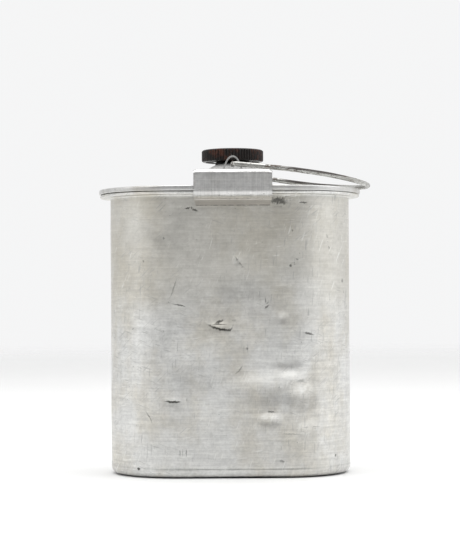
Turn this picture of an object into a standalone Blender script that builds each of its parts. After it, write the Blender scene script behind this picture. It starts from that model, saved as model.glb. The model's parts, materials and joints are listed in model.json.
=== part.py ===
"""A nesting field canteen in aluminium, with a screw stopper.

An oblong pot holds a flask that stands inside it. A sheet yoke bridges the flask's neck from front to
back and hooks under the pot's rim, and a wire bail swings in two loops on the yoke.
Metres, +Z up, the front at -Y. The origin is the middle of the pot's base, on the floor.
"""

import math

import bmesh
import bpy
from mathutils import Vector

# The oblong plan that the pot and the flask share: two half circles joined by straight sides
STRAIGHT = 0.0310  # from the middle to the centre of each rounded end
END_STEPS = 16  # facets in each rounded end

# Pot. Radii are distances from the oblong's middle line.
POT_RADIUS = 0.0440
POT_WALL = 0.0010
POT_BASE_ROUND = 0.0050
POT_RIM_RADIUS = 0.0506
POT_RIM_UNDER = 0.1721
POT_RIM_TOP = 0.1741
POT_RIM_BEAD = 0.00095  # rounding of the rim's outer edge
POT_RIM_FILLET = 0.0008  # rounding where the rim leaves the wall
POT_MOUTH_ROUND = 0.0012

# Flask
FLASK_RADIUS = 0.0415
FLASK_SHEET = 0.0008
FLASK_BASE = 0.0030
FLASK_BASE_ROUND = 0.0070
FLANGE_RADIUS = 0.0499
FLANGE_UNDER = 0.17490
FLANGE_THICK = 0.0006
FLANGE_FILLET = 0.0008
FLANGE_MOUTH_ROUND = 0.0014
SEAM_RADIUS = 0.0512  # outside of the rolled seam that joins the flask's two halves
SEAM_UNDER = 0.17430
SEAM_TOP = 0.17730
SEAM_CROWN = 0.0008  # rounding of the seam's top edge
SEAM_HEEL = 0.0005  # rounding of its bottom edge
SEAM_CURL = 0.0035  # the curled-in edge ends this far from the flask's wall
SEAM_LIP = 0.0004
SEAM_GAP = 0.0002
COUNTERSINK = 0.1722  # the groove just inside the seam
COUNTERSINK_WIDTH = 0.0040
COUNTERSINK_ROUND = 0.0030
CHUCK_ROUND = 0.0010
DOME_TOP = 0.1776
DOME_FLAT = 0.0200  # half width of the flat that the neck stands on
DOME_ROUND = 0.0100

# Neck and its thread
NECK_OFFSET = 0.0020  # the neck, and all that sits on it, stands this far to the right of the pot's middle
NECK_FOOT_RADIUS = 0.0175
NECK_FOOT = DOME_TOP + 0.00015
NECK_FOOT_THICK = 0.0010
NECK_FOOT_ROUND = 0.0004
NECK_RADIUS = 0.0113
NECK_SHOULDER = 0.1826
NECK_SHOULDER_BEND = 0.0020
NECK_MOUTH_ROUND = 0.0005
NECK_TOP = 0.1924
NECK_SPIGOT_RADIUS = 0.0126
NECK_SPIGOT_END = 0.1770
NECK_HOLE_RADIUS = 0.0130
BORE_RADIUS = 0.0094  # at the bottom of the thread's groove
THREAD_PITCH = 0.0030
THREAD_DEPTH = 0.0010
THREAD_PLAY = 0.0004
THREAD_LOW = 0.1815
THREAD_HIGH = 0.1915
THREAD_FADE = 0.0010
THREAD_RINGS = 5  # rings of points in each turn of thread
TURN_STEPS = 32  # facets round a turned piece

# Stopper and its seal
HEAD_RADIUS = 0.0189
HEAD_UNDER = 0.1949
HEAD_TOP = 0.2027
HEAD_ROUND = 0.0009
HEAD_HEEL = 0.0005  # height of the chamfer under the knurls
HEAD_OVERLAP = 0.0010  # the plug runs this far up into the head
KNURLS = 66
KNURL_DEPTH = 0.0005
PLUG_END = 0.1810
PLUG_HOLLOW_RADIUS = 0.0052
PLUG_HOLLOW_TOP = 0.1930
SEAL_OUTER = 0.0109
SEAL_INNER = 0.0093
SEAL_CLEAR = 0.00015
SEAL_ROUND = 0.0004

# Yoke: one strip of sheet, bent over the neck and under both sides of the rim
YOKE_HALF_WIDTH = 0.0235
YOKE_SHEET = 0.0012
YOKE_FACE = 0.0523  # the sheet's middle surface, from the centre plane
YOKE_LIP = 0.0451
YOKE_LIP_END = 0.1652
YOKE_LIP_TOP = 0.1696
YOKE_LIP_BEND = 0.0010
YOKE_LIP_TAPER = 0.06  # share of its width that the lip loses towards its end
YOKE_HOOK = 0.1712
YOKE_SHOULDER = 0.1864
YOKE_HOOK_BEND = 0.0032
YOKE_SHOULDER_BEND = 0.0026
YOKE_RISE = 0.0016  # how much the top rises from its front edge to its middle
YOKE_SIDE_DROP = 0.0027  # how much the top falls to its left and right edges
YOKE_SIDE_DROP_FROM = 0.0380  # the fall fades out between these distances from the centre plane
YOKE_SIDE_DROP_TO = 0.0490
YOKE_DOME = 0.0046
YOKE_DOME_INNER = 0.0150
YOKE_DOME_OUTER = 0.0215
YOKE_DOME_SQUEEZE = 1.1  # the dome is this much shorter from front to back
YOKE_COLUMNS = 13  # odd, so that no column of points falls on the slot's middle
YOKE_ROWS = 30
YOKE_SLOT = 0.0128  # half width of the slot that the neck slides out of
YOKE_CUT_BELOW = 0.0040  # the cutters' reach below and above the shoulder
YOKE_CUT_ABOVE = 0.0120

# The two loops that carry the bail: strips whose ends pass through slits and are bent over below
EAR_SHEET = 0.0010
EAR_NEAR = 0.0290
EAR_FAR = 0.0330
EAR_TOP = 0.1961
EAR_SPAN = 0.0053
EAR_DROP = 0.0071
EAR_LEG = 0.0056
EAR_KNEE = 0.0006  # straight part of each leg under the arch
EAR_TAB_END = 0.0093
EAR_TAB_HEIGHT = 0.1855
EAR_SLIT_PLAY = 0.0003

# Bail
WIRE_RADIUS = 0.00155
BAIL_PIVOT = 0.1914
BAIL_HALF_WIDTH = 0.0360
BAIL_REACH = 0.0852
BAIL_END_HEIGHT = 0.1794
BAIL_HOOK_END = 0.0252
BAIL_BEND = 0.0028
BAIL_FRONT_BOW = 0.0013  # the hand-bent wire bows up at the front and down at the back
BAIL_BACK_BOW = -0.0016

ALUMINIUM = (0.62, 0.61, 0.58)
BRIGHT_ALUMINIUM = (0.72, 0.72, 0.71)
WIRE_GREY = (0.42, 0.40, 0.37)
BAKELITE = (0.045, 0.022, 0.014)
BLACK_RUBBER = (0.012, 0.012, 0.012)


def material(name, colour, roughness, metallic):
    made = bpy.data.materials.new(name)
    made.use_nodes = True
    shader = made.node_tree.nodes["Principled BSDF"]
    shader.inputs["Base Color"].default_value = (*colour, 1)
    shader.inputs["Roughness"].default_value = roughness
    shader.inputs["Metallic"].default_value = metallic
    return made


def arc_at(before, corner, after, radius, steps):
    """The points of the arc of that radius that rounds off a corner."""
    back = (before - corner).normalized()
    ahead = (after - corner).normalized()
    half = back.angle(ahead) / 2
    centre = corner + (back + ahead).normalized() * (radius / math.sin(half))
    first = corner + back * (radius / math.tan(half)) - centre
    last = corner + ahead * (radius / math.tan(half)) - centre
    turn = first.angle_signed(last)
    arc = []
    for i in range(steps + 1):
        a = -turn * i / steps
        arc.append(centre + Vector((
            first.x * math.cos(a) - first.y * math.sin(a),
            first.x * math.sin(a) + first.y * math.cos(a),
        )))
    return arc


def rounded(corners, ring=False):
    """A polyline through corners. A corner (a, b) stays sharp, and (a, b, radius, steps) becomes an arc."""
    points = [Vector(c[:2]) for c in corners]
    line = []
    for i, corner in enumerate(corners):
        inside = ring or 0 < i < len(corners) - 1
        if len(corner) == 2 or not inside:
            line.append(points[i])
        else:
            line += arc_at(points[i - 1], points[i], points[(i + 1) % len(corners)], corner[2], corner[3])
    return line


def finished(name, bm, surface, smooth_degrees=35):
    """A new object from a bmesh, with merged points, outward normals and a material."""
    bmesh.ops.remove_doubles(bm, verts=bm.verts, dist=1e-6)
    bmesh.ops.dissolve_degenerate(bm, edges=bm.edges, dist=1e-7)
    bmesh.ops.recalc_face_normals(bm, faces=bm.faces)
    mesh = bpy.data.meshes.new(name)
    bm.to_mesh(mesh)
    bm.free()
    mesh.shade_smooth()
    mesh.set_sharp_from_angle(angle=math.radians(smooth_degrees))
    obj = bpy.data.objects.new(name, mesh)
    mesh.materials.append(surface)
    bpy.data.collections["canteen"].objects.link(obj)
    return obj


def profile_edges(bm, line, place, ring):
    """A chain of edges through the profile's points, each put in space by place()."""
    verts = [bm.verts.new(place(p)) for p in line]
    edges = [bm.edges.new(pair) for pair in zip(verts, verts[1:])]
    if ring:
        edges.append(bm.edges.new((verts[-1], verts[0])))
    return verts, edges


def oblong(name, line, surface, ring=False):
    """The profile of (distance from the middle line, height) carried round the oblong plan."""
    bm = bmesh.new()
    verts, edges = profile_edges(bm, line, lambda p: (STRAIGHT, -p.x, p.y), ring)
    last = verts + edges
    for side in (1, -1):
        spun = bmesh.ops.spin(
            bm, geom=last, cent=(side * STRAIGHT, 0, 0), axis=(0, 0, 1), angle=math.pi, steps=END_STEPS
        )
        ends = [e for e in spun["geom_last"] if isinstance(e, bmesh.types.BMEdge)]
        moved = bmesh.ops.extrude_edge_only(bm, edges=ends)["geom"]
        last = [e for e in moved if not isinstance(e, bmesh.types.BMFace)]
        shifted = [e for e in last if isinstance(e, bmesh.types.BMVert)]
        bmesh.ops.translate(bm, verts=shifted, vec=(-2 * side * STRAIGHT, 0, 0))
    return finished(name, bm, surface)


def turned(name, line, surface, steps=TURN_STEPS, ring=False, radius_at=None):
    """The profile of (radius, height) spun about Z. radius_at(angle, radius, height) makes threads, knurls."""
    bm = bmesh.new()
    verts, edges = profile_edges(bm, line, lambda p: (p.x, 0, p.y), ring)
    bmesh.ops.spin(bm, geom=verts + edges, cent=(0, 0, 0), axis=(0, 0, 1), angle=2 * math.pi, steps=steps)
    bmesh.ops.remove_doubles(bm, verts=bm.verts, dist=1e-6)
    if radius_at:
        for v in bm.verts:
            radius = math.hypot(v.co.x, v.co.y)
            if radius > 1e-5:
                angle = math.atan2(v.co.y, v.co.x)
                grown = radius_at(angle, radius, v.co.z) / radius
                v.co.x *= grown
                v.co.y *= grown
    return finished(name, bm, surface)


def box_cutter(name, low, high):
    cutter = bpy.data.objects.new(name, bpy.data.meshes.new(name))
    bm = bmesh.new()
    bmesh.ops.create_cube(bm, size=1)
    for v in bm.verts:
        v.co = Vector(high[k] if v.co[k] > 0 else low[k] for k in range(3))
    bm.to_mesh(cutter.data)
    bm.free()
    return hide_cutter(cutter)


def round_cutter(name, radius, low, high, steps=TURN_STEPS):
    cutter = bpy.data.objects.new(name, bpy.data.meshes.new(name))
    bm = bmesh.new()
    bmesh.ops.create_cone(bm, cap_ends=True, segments=steps, radius1=radius, radius2=radius, depth=high - low)
    bmesh.ops.translate(bm, verts=bm.verts, vec=(0, 0, (low + high) / 2))
    bm.to_mesh(cutter.data)
    bm.free()
    return hide_cutter(cutter)


def hide_cutter(cutter):
    bpy.data.collections["cutters"].objects.link(cutter)
    cutter.hide_render = True
    cutter.display_type = "WIRE"
    return cutter


def boolean(obj, other, operation):
    modifier = obj.modifiers.new(operation.lower() + "_" + other.name, "BOOLEAN")
    modifier.operation = operation
    modifier.object = other
    modifier.solver = "EXACT"


def ridge(angle, height):
    """0 in the stopper's thread groove and 1 on its crest, a right-hand thread."""
    return 0.5 + 0.5 * math.cos(2 * math.pi * height / THREAD_PITCH - angle)


def fade(height, low, high):
    """1 inside the threaded stretch, falling to 0 at its two ends."""
    inside = min(height - low, high - height) / THREAD_FADE
    return max(0.0, min(1.0, inside))


def thread_rings(radius, low, high):
    count = round((high - low) / THREAD_PITCH * THREAD_RINGS)
    return [Vector((radius, low + (high - low) * i / count)) for i in range(count + 1)]


def make_pot(surface):
    inner = POT_RADIUS - POT_WALL
    line = rounded([
        (0, 0),
        (POT_RADIUS, 0, POT_BASE_ROUND, 4),
        (POT_RADIUS, POT_RIM_UNDER, POT_RIM_FILLET, 2),
        (POT_RIM_RADIUS, POT_RIM_UNDER, POT_RIM_BEAD, 3),
        (POT_RIM_RADIUS, POT_RIM_TOP, POT_RIM_BEAD, 3),
        (inner, POT_RIM_TOP, POT_MOUTH_ROUND, 3),
        (inner, POT_WALL, POT_BASE_ROUND - POT_WALL, 4),
        (0, POT_WALL),
    ])
    return oblong("pot", line, surface)


def make_flask_body(surface):
    inner = FLASK_RADIUS - FLASK_SHEET
    flange_top = FLANGE_UNDER + FLANGE_THICK
    line = rounded([
        (0, FLASK_BASE),
        (FLASK_RADIUS, FLASK_BASE, FLASK_BASE_ROUND, 4),
        (FLASK_RADIUS, FLANGE_UNDER, FLANGE_FILLET, 2),
        (FLANGE_RADIUS, FLANGE_UNDER),
        (FLANGE_RADIUS, flange_top),
        (inner, flange_top, FLANGE_MOUTH_ROUND, 3),
        (inner, FLASK_BASE + FLASK_SHEET, FLASK_BASE_ROUND - FLASK_SHEET, 4),
        (0, FLASK_BASE + FLASK_SHEET),
    ])
    return oblong("flask_body", line, surface)


def make_flask_top(surface):
    """The flask's upper half: a lid with a countersunk groove, its edge rolled over the body's flange."""
    chuck = FLASK_RADIUS - FLASK_SHEET - SEAM_GAP  # outside of the lid's wall, just inside the body's
    lip_end = FLASK_RADIUS + SEAM_CURL
    lip_top = SEAM_UNDER + SEAM_LIP
    wrap = FLANGE_RADIUS + SEAM_GAP
    over = FLANGE_UNDER + FLANGE_THICK + SEAM_GAP
    groove_top = COUNTERSINK + FLASK_SHEET
    line = rounded([
        (0, DOME_TOP),
        (DOME_FLAT, DOME_TOP, DOME_ROUND, 2),
        (chuck - COUNTERSINK_WIDTH, groove_top, COUNTERSINK_ROUND, 2),
        (chuck - FLASK_SHEET, groove_top, CHUCK_ROUND, 2),
        (chuck - FLASK_SHEET, SEAM_TOP, CHUCK_ROUND, 2),
        (SEAM_RADIUS, SEAM_TOP, SEAM_CROWN, 2),
        (SEAM_RADIUS, SEAM_UNDER, SEAM_HEEL, 2),
        (lip_end, SEAM_UNDER),
        (lip_end, lip_top),
        (wrap, lip_top),
        (wrap, over),
        (chuck, over, CHUCK_ROUND + SEAM_GAP, 2),
        (chuck, COUNTERSINK, CHUCK_ROUND + FLASK_SHEET, 2),
        (chuck - COUNTERSINK_WIDTH - SEAM_GAP, COUNTERSINK, COUNTERSINK_ROUND, 2),
        (DOME_FLAT, DOME_TOP - FLASK_SHEET, DOME_ROUND, 2),
        (0, DOME_TOP - FLASK_SHEET),
    ])
    top = oblong("flask_top", line, surface)
    hole = round_cutter("neck_hole", NECK_HOLE_RADIUS, COUNTERSINK, DOME_TOP + FLASK_SHEET)
    boolean(top, hole, "DIFFERENCE")
    return top


def make_neck(surface):
    """A turned neck with a foot that is brazed to the flask, and a coarse thread inside."""
    outside = rounded([
        (NECK_SPIGOT_RADIUS, NECK_FOOT),
        (NECK_FOOT_RADIUS, NECK_FOOT),
        (NECK_FOOT_RADIUS, NECK_FOOT + NECK_FOOT_THICK, NECK_FOOT_ROUND, 1),
        (NECK_RADIUS, NECK_SHOULDER, NECK_SHOULDER_BEND, 2),
        (NECK_RADIUS, NECK_TOP, NECK_MOUTH_ROUND, 2),
        (BORE_RADIUS + NECK_MOUTH_ROUND, NECK_TOP),
    ])
    bore = thread_rings(BORE_RADIUS, THREAD_LOW, THREAD_HIGH)[::-1]
    low = [Vector((BORE_RADIUS, NECK_SPIGOT_END)), Vector((NECK_SPIGOT_RADIUS, NECK_SPIGOT_END))]

    def radius_at(angle, radius, height):
        if abs(radius - BORE_RADIUS) > 1e-5:
            return radius
        return BORE_RADIUS - THREAD_DEPTH * (1 - ridge(angle, height)) * fade(height, THREAD_LOW, THREAD_HIGH)

    return turned("neck", outside + bore + low, surface, ring=True, radius_at=radius_at)


def make_head(surface):
    side_low = HEAD_UNDER + HEAD_HEEL
    side_high = HEAD_TOP - HEAD_ROUND
    line = rounded([
        (0, HEAD_UNDER),
        (HEAD_RADIUS - HEAD_HEEL, HEAD_UNDER),
        (HEAD_RADIUS, side_low),
        (HEAD_RADIUS, HEAD_TOP, HEAD_ROUND, 2),
        (0, HEAD_TOP),
    ])

    def radius_at(angle, radius, height):
        knurled = side_low - 1e-5 < height < side_high + 1e-5 and radius > HEAD_RADIUS * 0.9
        return radius + (KNURL_DEPTH if knurled and math.cos(angle * KNURLS) > 0 else 0)

    return turned("stopper", line, surface, steps=2 * KNURLS, radius_at=radius_at)


def make_plug(surface):
    root = BORE_RADIUS - THREAD_PLAY - THREAD_DEPTH
    overlap = HEAD_UNDER + HEAD_OVERLAP
    thread_end = THREAD_HIGH + THREAD_FADE / 2
    line = [
        Vector((0, PLUG_HOLLOW_TOP)),
        Vector((PLUG_HOLLOW_RADIUS, PLUG_HOLLOW_TOP)),
        Vector((PLUG_HOLLOW_RADIUS, PLUG_END)),
        *thread_rings(root, PLUG_END, thread_end),
        Vector((root, overlap)),
        Vector((0, overlap)),
    ]

    def radius_at(angle, radius, height):
        if abs(radius - root) > 1e-5:
            return radius
        return root + THREAD_DEPTH * ridge(angle, height) * fade(height, PLUG_END, thread_end)

    return turned("plug_shape", line, surface, radius_at=radius_at)


def make_stopper(surface):
    """One moulding: a knurled head and the threaded plug under it, hollow from below."""
    stopper = make_head(surface)
    plug = make_plug(surface)
    bpy.data.collections["canteen"].objects.unlink(plug)
    boolean(stopper, hide_cutter(plug), "UNION")
    return stopper


def make_seal(surface):
    low = NECK_TOP + SEAL_CLEAR
    high = HEAD_UNDER - SEAL_CLEAR
    line = rounded([
        (SEAL_INNER, low),
        (SEAL_OUTER, low, SEAL_ROUND, 2),
        (SEAL_OUTER, high, SEAL_ROUND, 2),
        (SEAL_INNER, high),
    ], ring=True)
    return turned("seal", line, surface, ring=True)


def smoothstep(value, low, high):
    t = max(0.0, min(1.0, (value - low) / (high - low)))
    return t * t * (3 - 2 * t)


def yoke_lift(x, y):
    """Height of the yoke's top above its front edge at a place: a gentle crown, and a dome at the neck."""
    crown = YOKE_RISE * (1 - (y / YOKE_FACE) ** 2)
    inboard = 1 - smoothstep(abs(y), YOKE_SIDE_DROP_FROM, YOKE_SIDE_DROP_TO)
    sides = YOKE_SIDE_DROP * (x / YOKE_HALF_WIDTH) ** 2 * inboard
    reach = math.hypot(x, y * YOKE_DOME_SQUEEZE)
    dome = YOKE_DOME * (1 - smoothstep(reach, YOKE_DOME_INNER, YOKE_DOME_OUTER))
    return crown - sides + dome


def yoke_section():
    """The yoke's middle surface from its side, (y, z), from the front lip over the top to the back lip."""
    corners = [
        (YOKE_LIP, YOKE_LIP_END),
        (YOKE_LIP, YOKE_LIP_TOP, YOKE_LIP_BEND, 2),
        (YOKE_FACE, YOKE_HOOK, YOKE_HOOK_BEND, 5),
        (YOKE_FACE, YOKE_SHOULDER, YOKE_SHOULDER_BEND, 4),
    ]
    front = rounded([(-y, *rest) for y, *rest in corners] + [(0, YOKE_SHOULDER)])[:-1]
    start = front[-1].x
    flat = [Vector((start * (1 - 2 * i / YOKE_ROWS), YOKE_SHOULDER)) for i in range(1, YOKE_ROWS)]
    back = [Vector((-p.x, p.y)) for p in reversed(front)]
    return front + flat + back


def make_yoke(surface):
    bm = bmesh.new()
    _, edges = profile_edges(bm, yoke_section(), lambda p: (-YOKE_HALF_WIDTH, p.x, p.y), ring=False)
    for _ in range(YOKE_COLUMNS):
        moved = bmesh.ops.extrude_edge_only(bm, edges=edges)["geom"]
        edges = [e for e in moved if isinstance(e, bmesh.types.BMEdge)]
        verts = [v for v in moved if isinstance(v, bmesh.types.BMVert)]
        bmesh.ops.translate(bm, verts=verts, vec=(2 * YOKE_HALF_WIDTH / YOKE_COLUMNS, 0, 0))
    for v in bm.verts:
        on_top = smoothstep(v.co.z, YOKE_SHOULDER - YOKE_SHOULDER_BEND, YOKE_SHOULDER)
        below = max(0.0, YOKE_LIP_TOP - v.co.z) / (YOKE_LIP_TOP - YOKE_LIP_END)
        v.co.z += on_top * yoke_lift(v.co.x, v.co.y)
        v.co.x *= 1 - YOKE_LIP_TAPER * below
    yoke = finished("yoke", bm, surface)
    thick = yoke.modifiers.new("sheet", "SOLIDIFY")
    thick.thickness = YOKE_SHEET
    thick.offset = 0
    thick.use_even_offset = True
    low, high = YOKE_SHOULDER - YOKE_CUT_BELOW, YOKE_SHOULDER + YOKE_CUT_ABOVE
    boolean(yoke, round_cutter("neck_clearance", YOKE_SLOT, low, high), "DIFFERENCE")
    way_out = box_cutter("neck_way_out", (-2 * YOKE_HALF_WIDTH, -YOKE_SLOT, low), (0, YOKE_SLOT, high))
    boolean(yoke, way_out, "DIFFERENCE")
    half = EAR_SHEET / 2 + EAR_SLIT_PLAY
    for side, y_sign in (("front", -1), ("back", 1)):
        for hand, x_sign in (("left", -1), ("right", 1)):
            ys = sorted((y_sign * (EAR_NEAR - EAR_SLIT_PLAY), y_sign * (EAR_FAR + EAR_SLIT_PLAY)))
            x = x_sign * EAR_LEG
            slit = box_cutter(f"slit_{side}_{hand}", (x - half, ys[0], low), (x + half, ys[1], high))
            boolean(yoke, slit, "DIFFERENCE")
    return yoke


def ear_outline():
    """The loop's strip seen from the front, (x, z): an arch, two legs and the tabs bent out below."""
    steps = 10
    knee = EAR_TOP - EAR_DROP
    arch = []
    for i in range(steps + 1):
        x = EAR_SPAN * (2 * i / steps - 1)
        arch.append(Vector((x, EAR_TOP - EAR_DROP * (x / EAR_SPAN) ** 2)))
    left = [
        Vector((-EAR_TAB_END, EAR_TAB_HEIGHT)),
        Vector((-EAR_LEG - EAR_SHEET * 0.2, EAR_TAB_HEIGHT)),
        Vector((-EAR_LEG, EAR_TAB_HEIGHT + EAR_SHEET * 0.3)),
        Vector((-EAR_LEG, knee - EAR_KNEE)),
    ]
    right = [Vector((-p.x, p.y)) for p in reversed(left)]
    middle = left + arch + right
    sides = ([], [])
    for i, p in enumerate(middle):
        before, after = middle[max(i - 1, 0)], middle[min(i + 1, len(middle) - 1)]
        along = (after - before).normalized()
        across = Vector((-along.y, along.x)) * EAR_SHEET / 2
        sides[0].append(p + across)
        sides[1].append(p - across)
    return sides[0] + sides[1][::-1]


def make_ear(name, y_sign, surface):
    bm = bmesh.new()
    verts = [bm.verts.new((p.x, y_sign * EAR_NEAR, p.y)) for p in ear_outline()]
    face = bm.faces.new(verts)
    moved = bmesh.ops.extrude_face_region(bm, geom=[face])["geom"]
    shifted = [v for v in moved if isinstance(v, bmesh.types.BMVert)]
    bmesh.ops.translate(bm, verts=shifted, vec=(0, y_sign * (EAR_FAR - EAR_NEAR), 0))
    bmesh.ops.triangulate(bm, faces=[f for f in bm.faces if len(f.verts) > 4])
    return finished(name, bm, surface)


def bail_height(x, bow):
    """Height of the folded bail's wire at a place along it: a straight fall from the pivot, plus its bow."""
    share = x / BAIL_REACH
    return BAIL_PIVOT + (BAIL_END_HEIGHT - BAIL_PIVOT) * share + bow * math.sin(math.pi * share)


def bail_side(sign, bow):
    """Half of the bail's line, from the tip of its hook, out along its side and round to the end's middle."""
    hook_bend = 5
    side_steps = 9
    end_steps = 12
    hook_middle = (BAIL_HOOK_END + BAIL_HALF_WIDTH - BAIL_BEND) / 2
    points = [Vector((0, sign * y, BAIL_PIVOT)) for y in (BAIL_HOOK_END, hook_middle)]
    for i in range(hook_bend + 1):
        a = math.pi / 2 * i / hook_bend
        x = BAIL_BEND * (1 - math.cos(a))
        y = BAIL_HALF_WIDTH - BAIL_BEND * (1 - math.sin(a))
        points.append(Vector((x, sign * y, bail_height(x, bow))))
    turn = BAIL_REACH - BAIL_HALF_WIDTH
    for i in range(1, side_steps):
        x = BAIL_BEND + (turn - BAIL_BEND) * i / side_steps
        points.append(Vector((x, sign * BAIL_HALF_WIDTH, bail_height(x, bow))))
    for i in range(end_steps + 1):
        a = math.pi / 2 * i / end_steps
        x = turn + BAIL_HALF_WIDTH * math.sin(a)
        points.append(Vector((x, sign * BAIL_HALF_WIDTH * math.cos(a), bail_height(x, bow))))
    return points


def make_bail(surface):
    points = bail_side(-1, BAIL_FRONT_BOW) + bail_side(1, BAIL_BACK_BOW)[-2::-1]
    curve = bpy.data.curves.new("bail", "CURVE")
    curve.dimensions = "3D"
    curve.bevel_depth = WIRE_RADIUS
    curve.bevel_resolution = 2
    curve.use_fill_caps = True
    spline = curve.splines.new("POLY")
    spline.points.add(len(points) - 1)
    for slot, p in zip(spline.points, points):
        slot.co = (p.x, p.y, p.z - BAIL_PIVOT, 1)
    bail = bpy.data.objects.new("bail", curve)
    bail.location = (0, 0, BAIL_PIVOT)
    curve.materials.append(surface)
    bpy.data.collections["canteen"].objects.link(bail)
    return bail


def main():
    for obj in list(bpy.data.objects):
        bpy.data.objects.remove(obj)
    for name in ("canteen", "cutters"):
        bpy.context.scene.collection.children.link(bpy.data.collections.new(name))
    drawn = material("drawn_aluminium", ALUMINIUM, 0.45, 1.0)
    bright = material("bright_aluminium", BRIGHT_ALUMINIUM, 0.38, 1.0)
    wire = material("wire", WIRE_GREY, 0.50, 1.0)
    bakelite = material("bakelite", BAKELITE, 0.35, 0.0)
    rubber = material("rubber", BLACK_RUBBER, 0.70, 0.0)
    make_pot(drawn)
    make_flask_body(drawn)
    make_flask_top(drawn)
    make_neck(bright)
    make_stopper(bakelite)
    make_seal(rubber)
    make_yoke(bright)
    make_ear("ear_front", -1, bright)
    make_ear("ear_back", 1, bright)
    make_bail(wire)
    axis = bpy.data.objects.new("neck_axis", None)
    axis.location = (NECK_OFFSET, 0, 0)
    bpy.data.collections["canteen"].objects.link(axis)
    for obj in bpy.data.objects:
        if obj.name not in ("pot", "flask_body", "flask_top", "neck_axis"):
            obj.parent = axis


main()
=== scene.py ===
"""Looks for the nesting field canteen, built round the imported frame. Metres, +Z up, the front at -Y."""

import json
import math
import random

import bmesh
import bpy
import numpy as np
from mathutils import Matrix, Vector, noise


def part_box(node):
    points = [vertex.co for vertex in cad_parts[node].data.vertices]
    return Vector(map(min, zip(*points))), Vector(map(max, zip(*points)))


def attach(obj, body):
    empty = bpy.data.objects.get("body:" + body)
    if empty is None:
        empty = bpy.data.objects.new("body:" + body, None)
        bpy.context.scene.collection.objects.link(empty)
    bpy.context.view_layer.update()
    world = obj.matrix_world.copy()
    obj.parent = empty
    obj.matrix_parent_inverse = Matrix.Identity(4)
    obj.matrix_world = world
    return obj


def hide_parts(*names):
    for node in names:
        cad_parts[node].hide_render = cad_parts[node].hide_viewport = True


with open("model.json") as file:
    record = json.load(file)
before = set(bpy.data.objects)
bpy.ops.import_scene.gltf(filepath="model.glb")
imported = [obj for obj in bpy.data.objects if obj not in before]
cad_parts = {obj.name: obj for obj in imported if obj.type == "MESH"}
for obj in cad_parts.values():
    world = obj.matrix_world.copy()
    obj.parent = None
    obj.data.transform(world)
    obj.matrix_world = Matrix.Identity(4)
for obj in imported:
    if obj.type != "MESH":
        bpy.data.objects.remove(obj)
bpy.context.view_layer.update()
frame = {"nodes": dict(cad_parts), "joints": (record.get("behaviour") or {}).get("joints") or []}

MM = 0.001
SMOOTH_DEGREES = 35  # faces that meet at a wider angle than this show an edge
ROUND_STEPS = 96  # points round the neck, the seal and the round cutters

# Sizes read from the frame
POT_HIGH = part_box("pot")[1]
LID_LOW, LID_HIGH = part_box("flask_top")
NECK_LOW, NECK_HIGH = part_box("neck")
HEAD_LOW, HEAD_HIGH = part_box("stopper")
SEAL_LOW, SEAL_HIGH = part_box("seal")
YOKE_LOW, YOKE_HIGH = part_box("yoke")
EAR_LOW, EAR_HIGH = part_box("ear_back")
BAIL_LOW, BAIL_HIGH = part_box("bail")

# The oblong plan: two half circles joined by straight sides
RIM_RADIUS = POT_HIGH.y
STRAIGHT = POT_HIGH.x - POT_HIGH.y
NECK_X = (NECK_LOW.x + NECK_HIGH.x) / 2

# Pot
RIM_TOP = POT_HIGH.z
RIM_UNDER = RIM_TOP - 2 * MM
POT_RADIUS = RIM_RADIUS - 6.6 * MM
POT_WALL = 1 * MM
POT_BASE_ROUND = 5 * MM
POT_STEP = 1.25 * MM  # spacing of the points on the pot's outer wall
WALL_WAVES = ((0.00022, 24, 15), (0.00006, 90, 60))  # how far, how often round the wall, how often up it
RIM_WAVE = 0.00016
WEAR_STARTS = (0.006, 0.016)  # the wall's wear fades in between these heights, and out between the next two
WEAR_ENDS = (0.15, 0.163)

# Flask's upper half
SEAM_RADIUS = LID_HIGH.y
SEAM_TOP = LID_HIGH.z - 0.3 * MM
SEAM_UNDER = RIM_TOP + 0.2 * MM
SEAM_OVER = RIM_TOP + 1.6 * MM  # the roof of the space that the body's flange fills
LID_SHEET = 0.8 * MM
LID_DOME = LID_HIGH.z
LID_GROOVE = LID_LOW.z
LID_FLAT = 20 * MM
LID_CHUCK = POT_RADIUS - 3.5 * MM
NECK_HOLE = 13 * MM

# Neck and thread
NECK_RADIUS = 11.3 * MM
NECK_FOOT_RADIUS = (NECK_HIGH.x - NECK_LOW.x) / 2
BORE_RADIUS = 9.4 * MM
SPIGOT_RADIUS = 12.6 * MM
THREAD_PITCH = 3 * MM
THREAD_DEPTH = 1 * MM
THREAD_FADE = 1 * MM
THREAD_LOW = NECK_HIGH.z - 10.9 * MM
THREAD_HIGH = NECK_HIGH.z - 0.9 * MM

# Stopper
HEAD_TOP = HEAD_HIGH.z
HEAD_UNDER = SEAL_HIGH.z + 0.15 * MM
KNURL_DEPTH = 0.5 * MM
HEAD_RADIUS = HEAD_HIGH.y - KNURL_DEPTH
KNURLS = 66
PLUG_HOLLOW = 5.2 * MM

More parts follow.
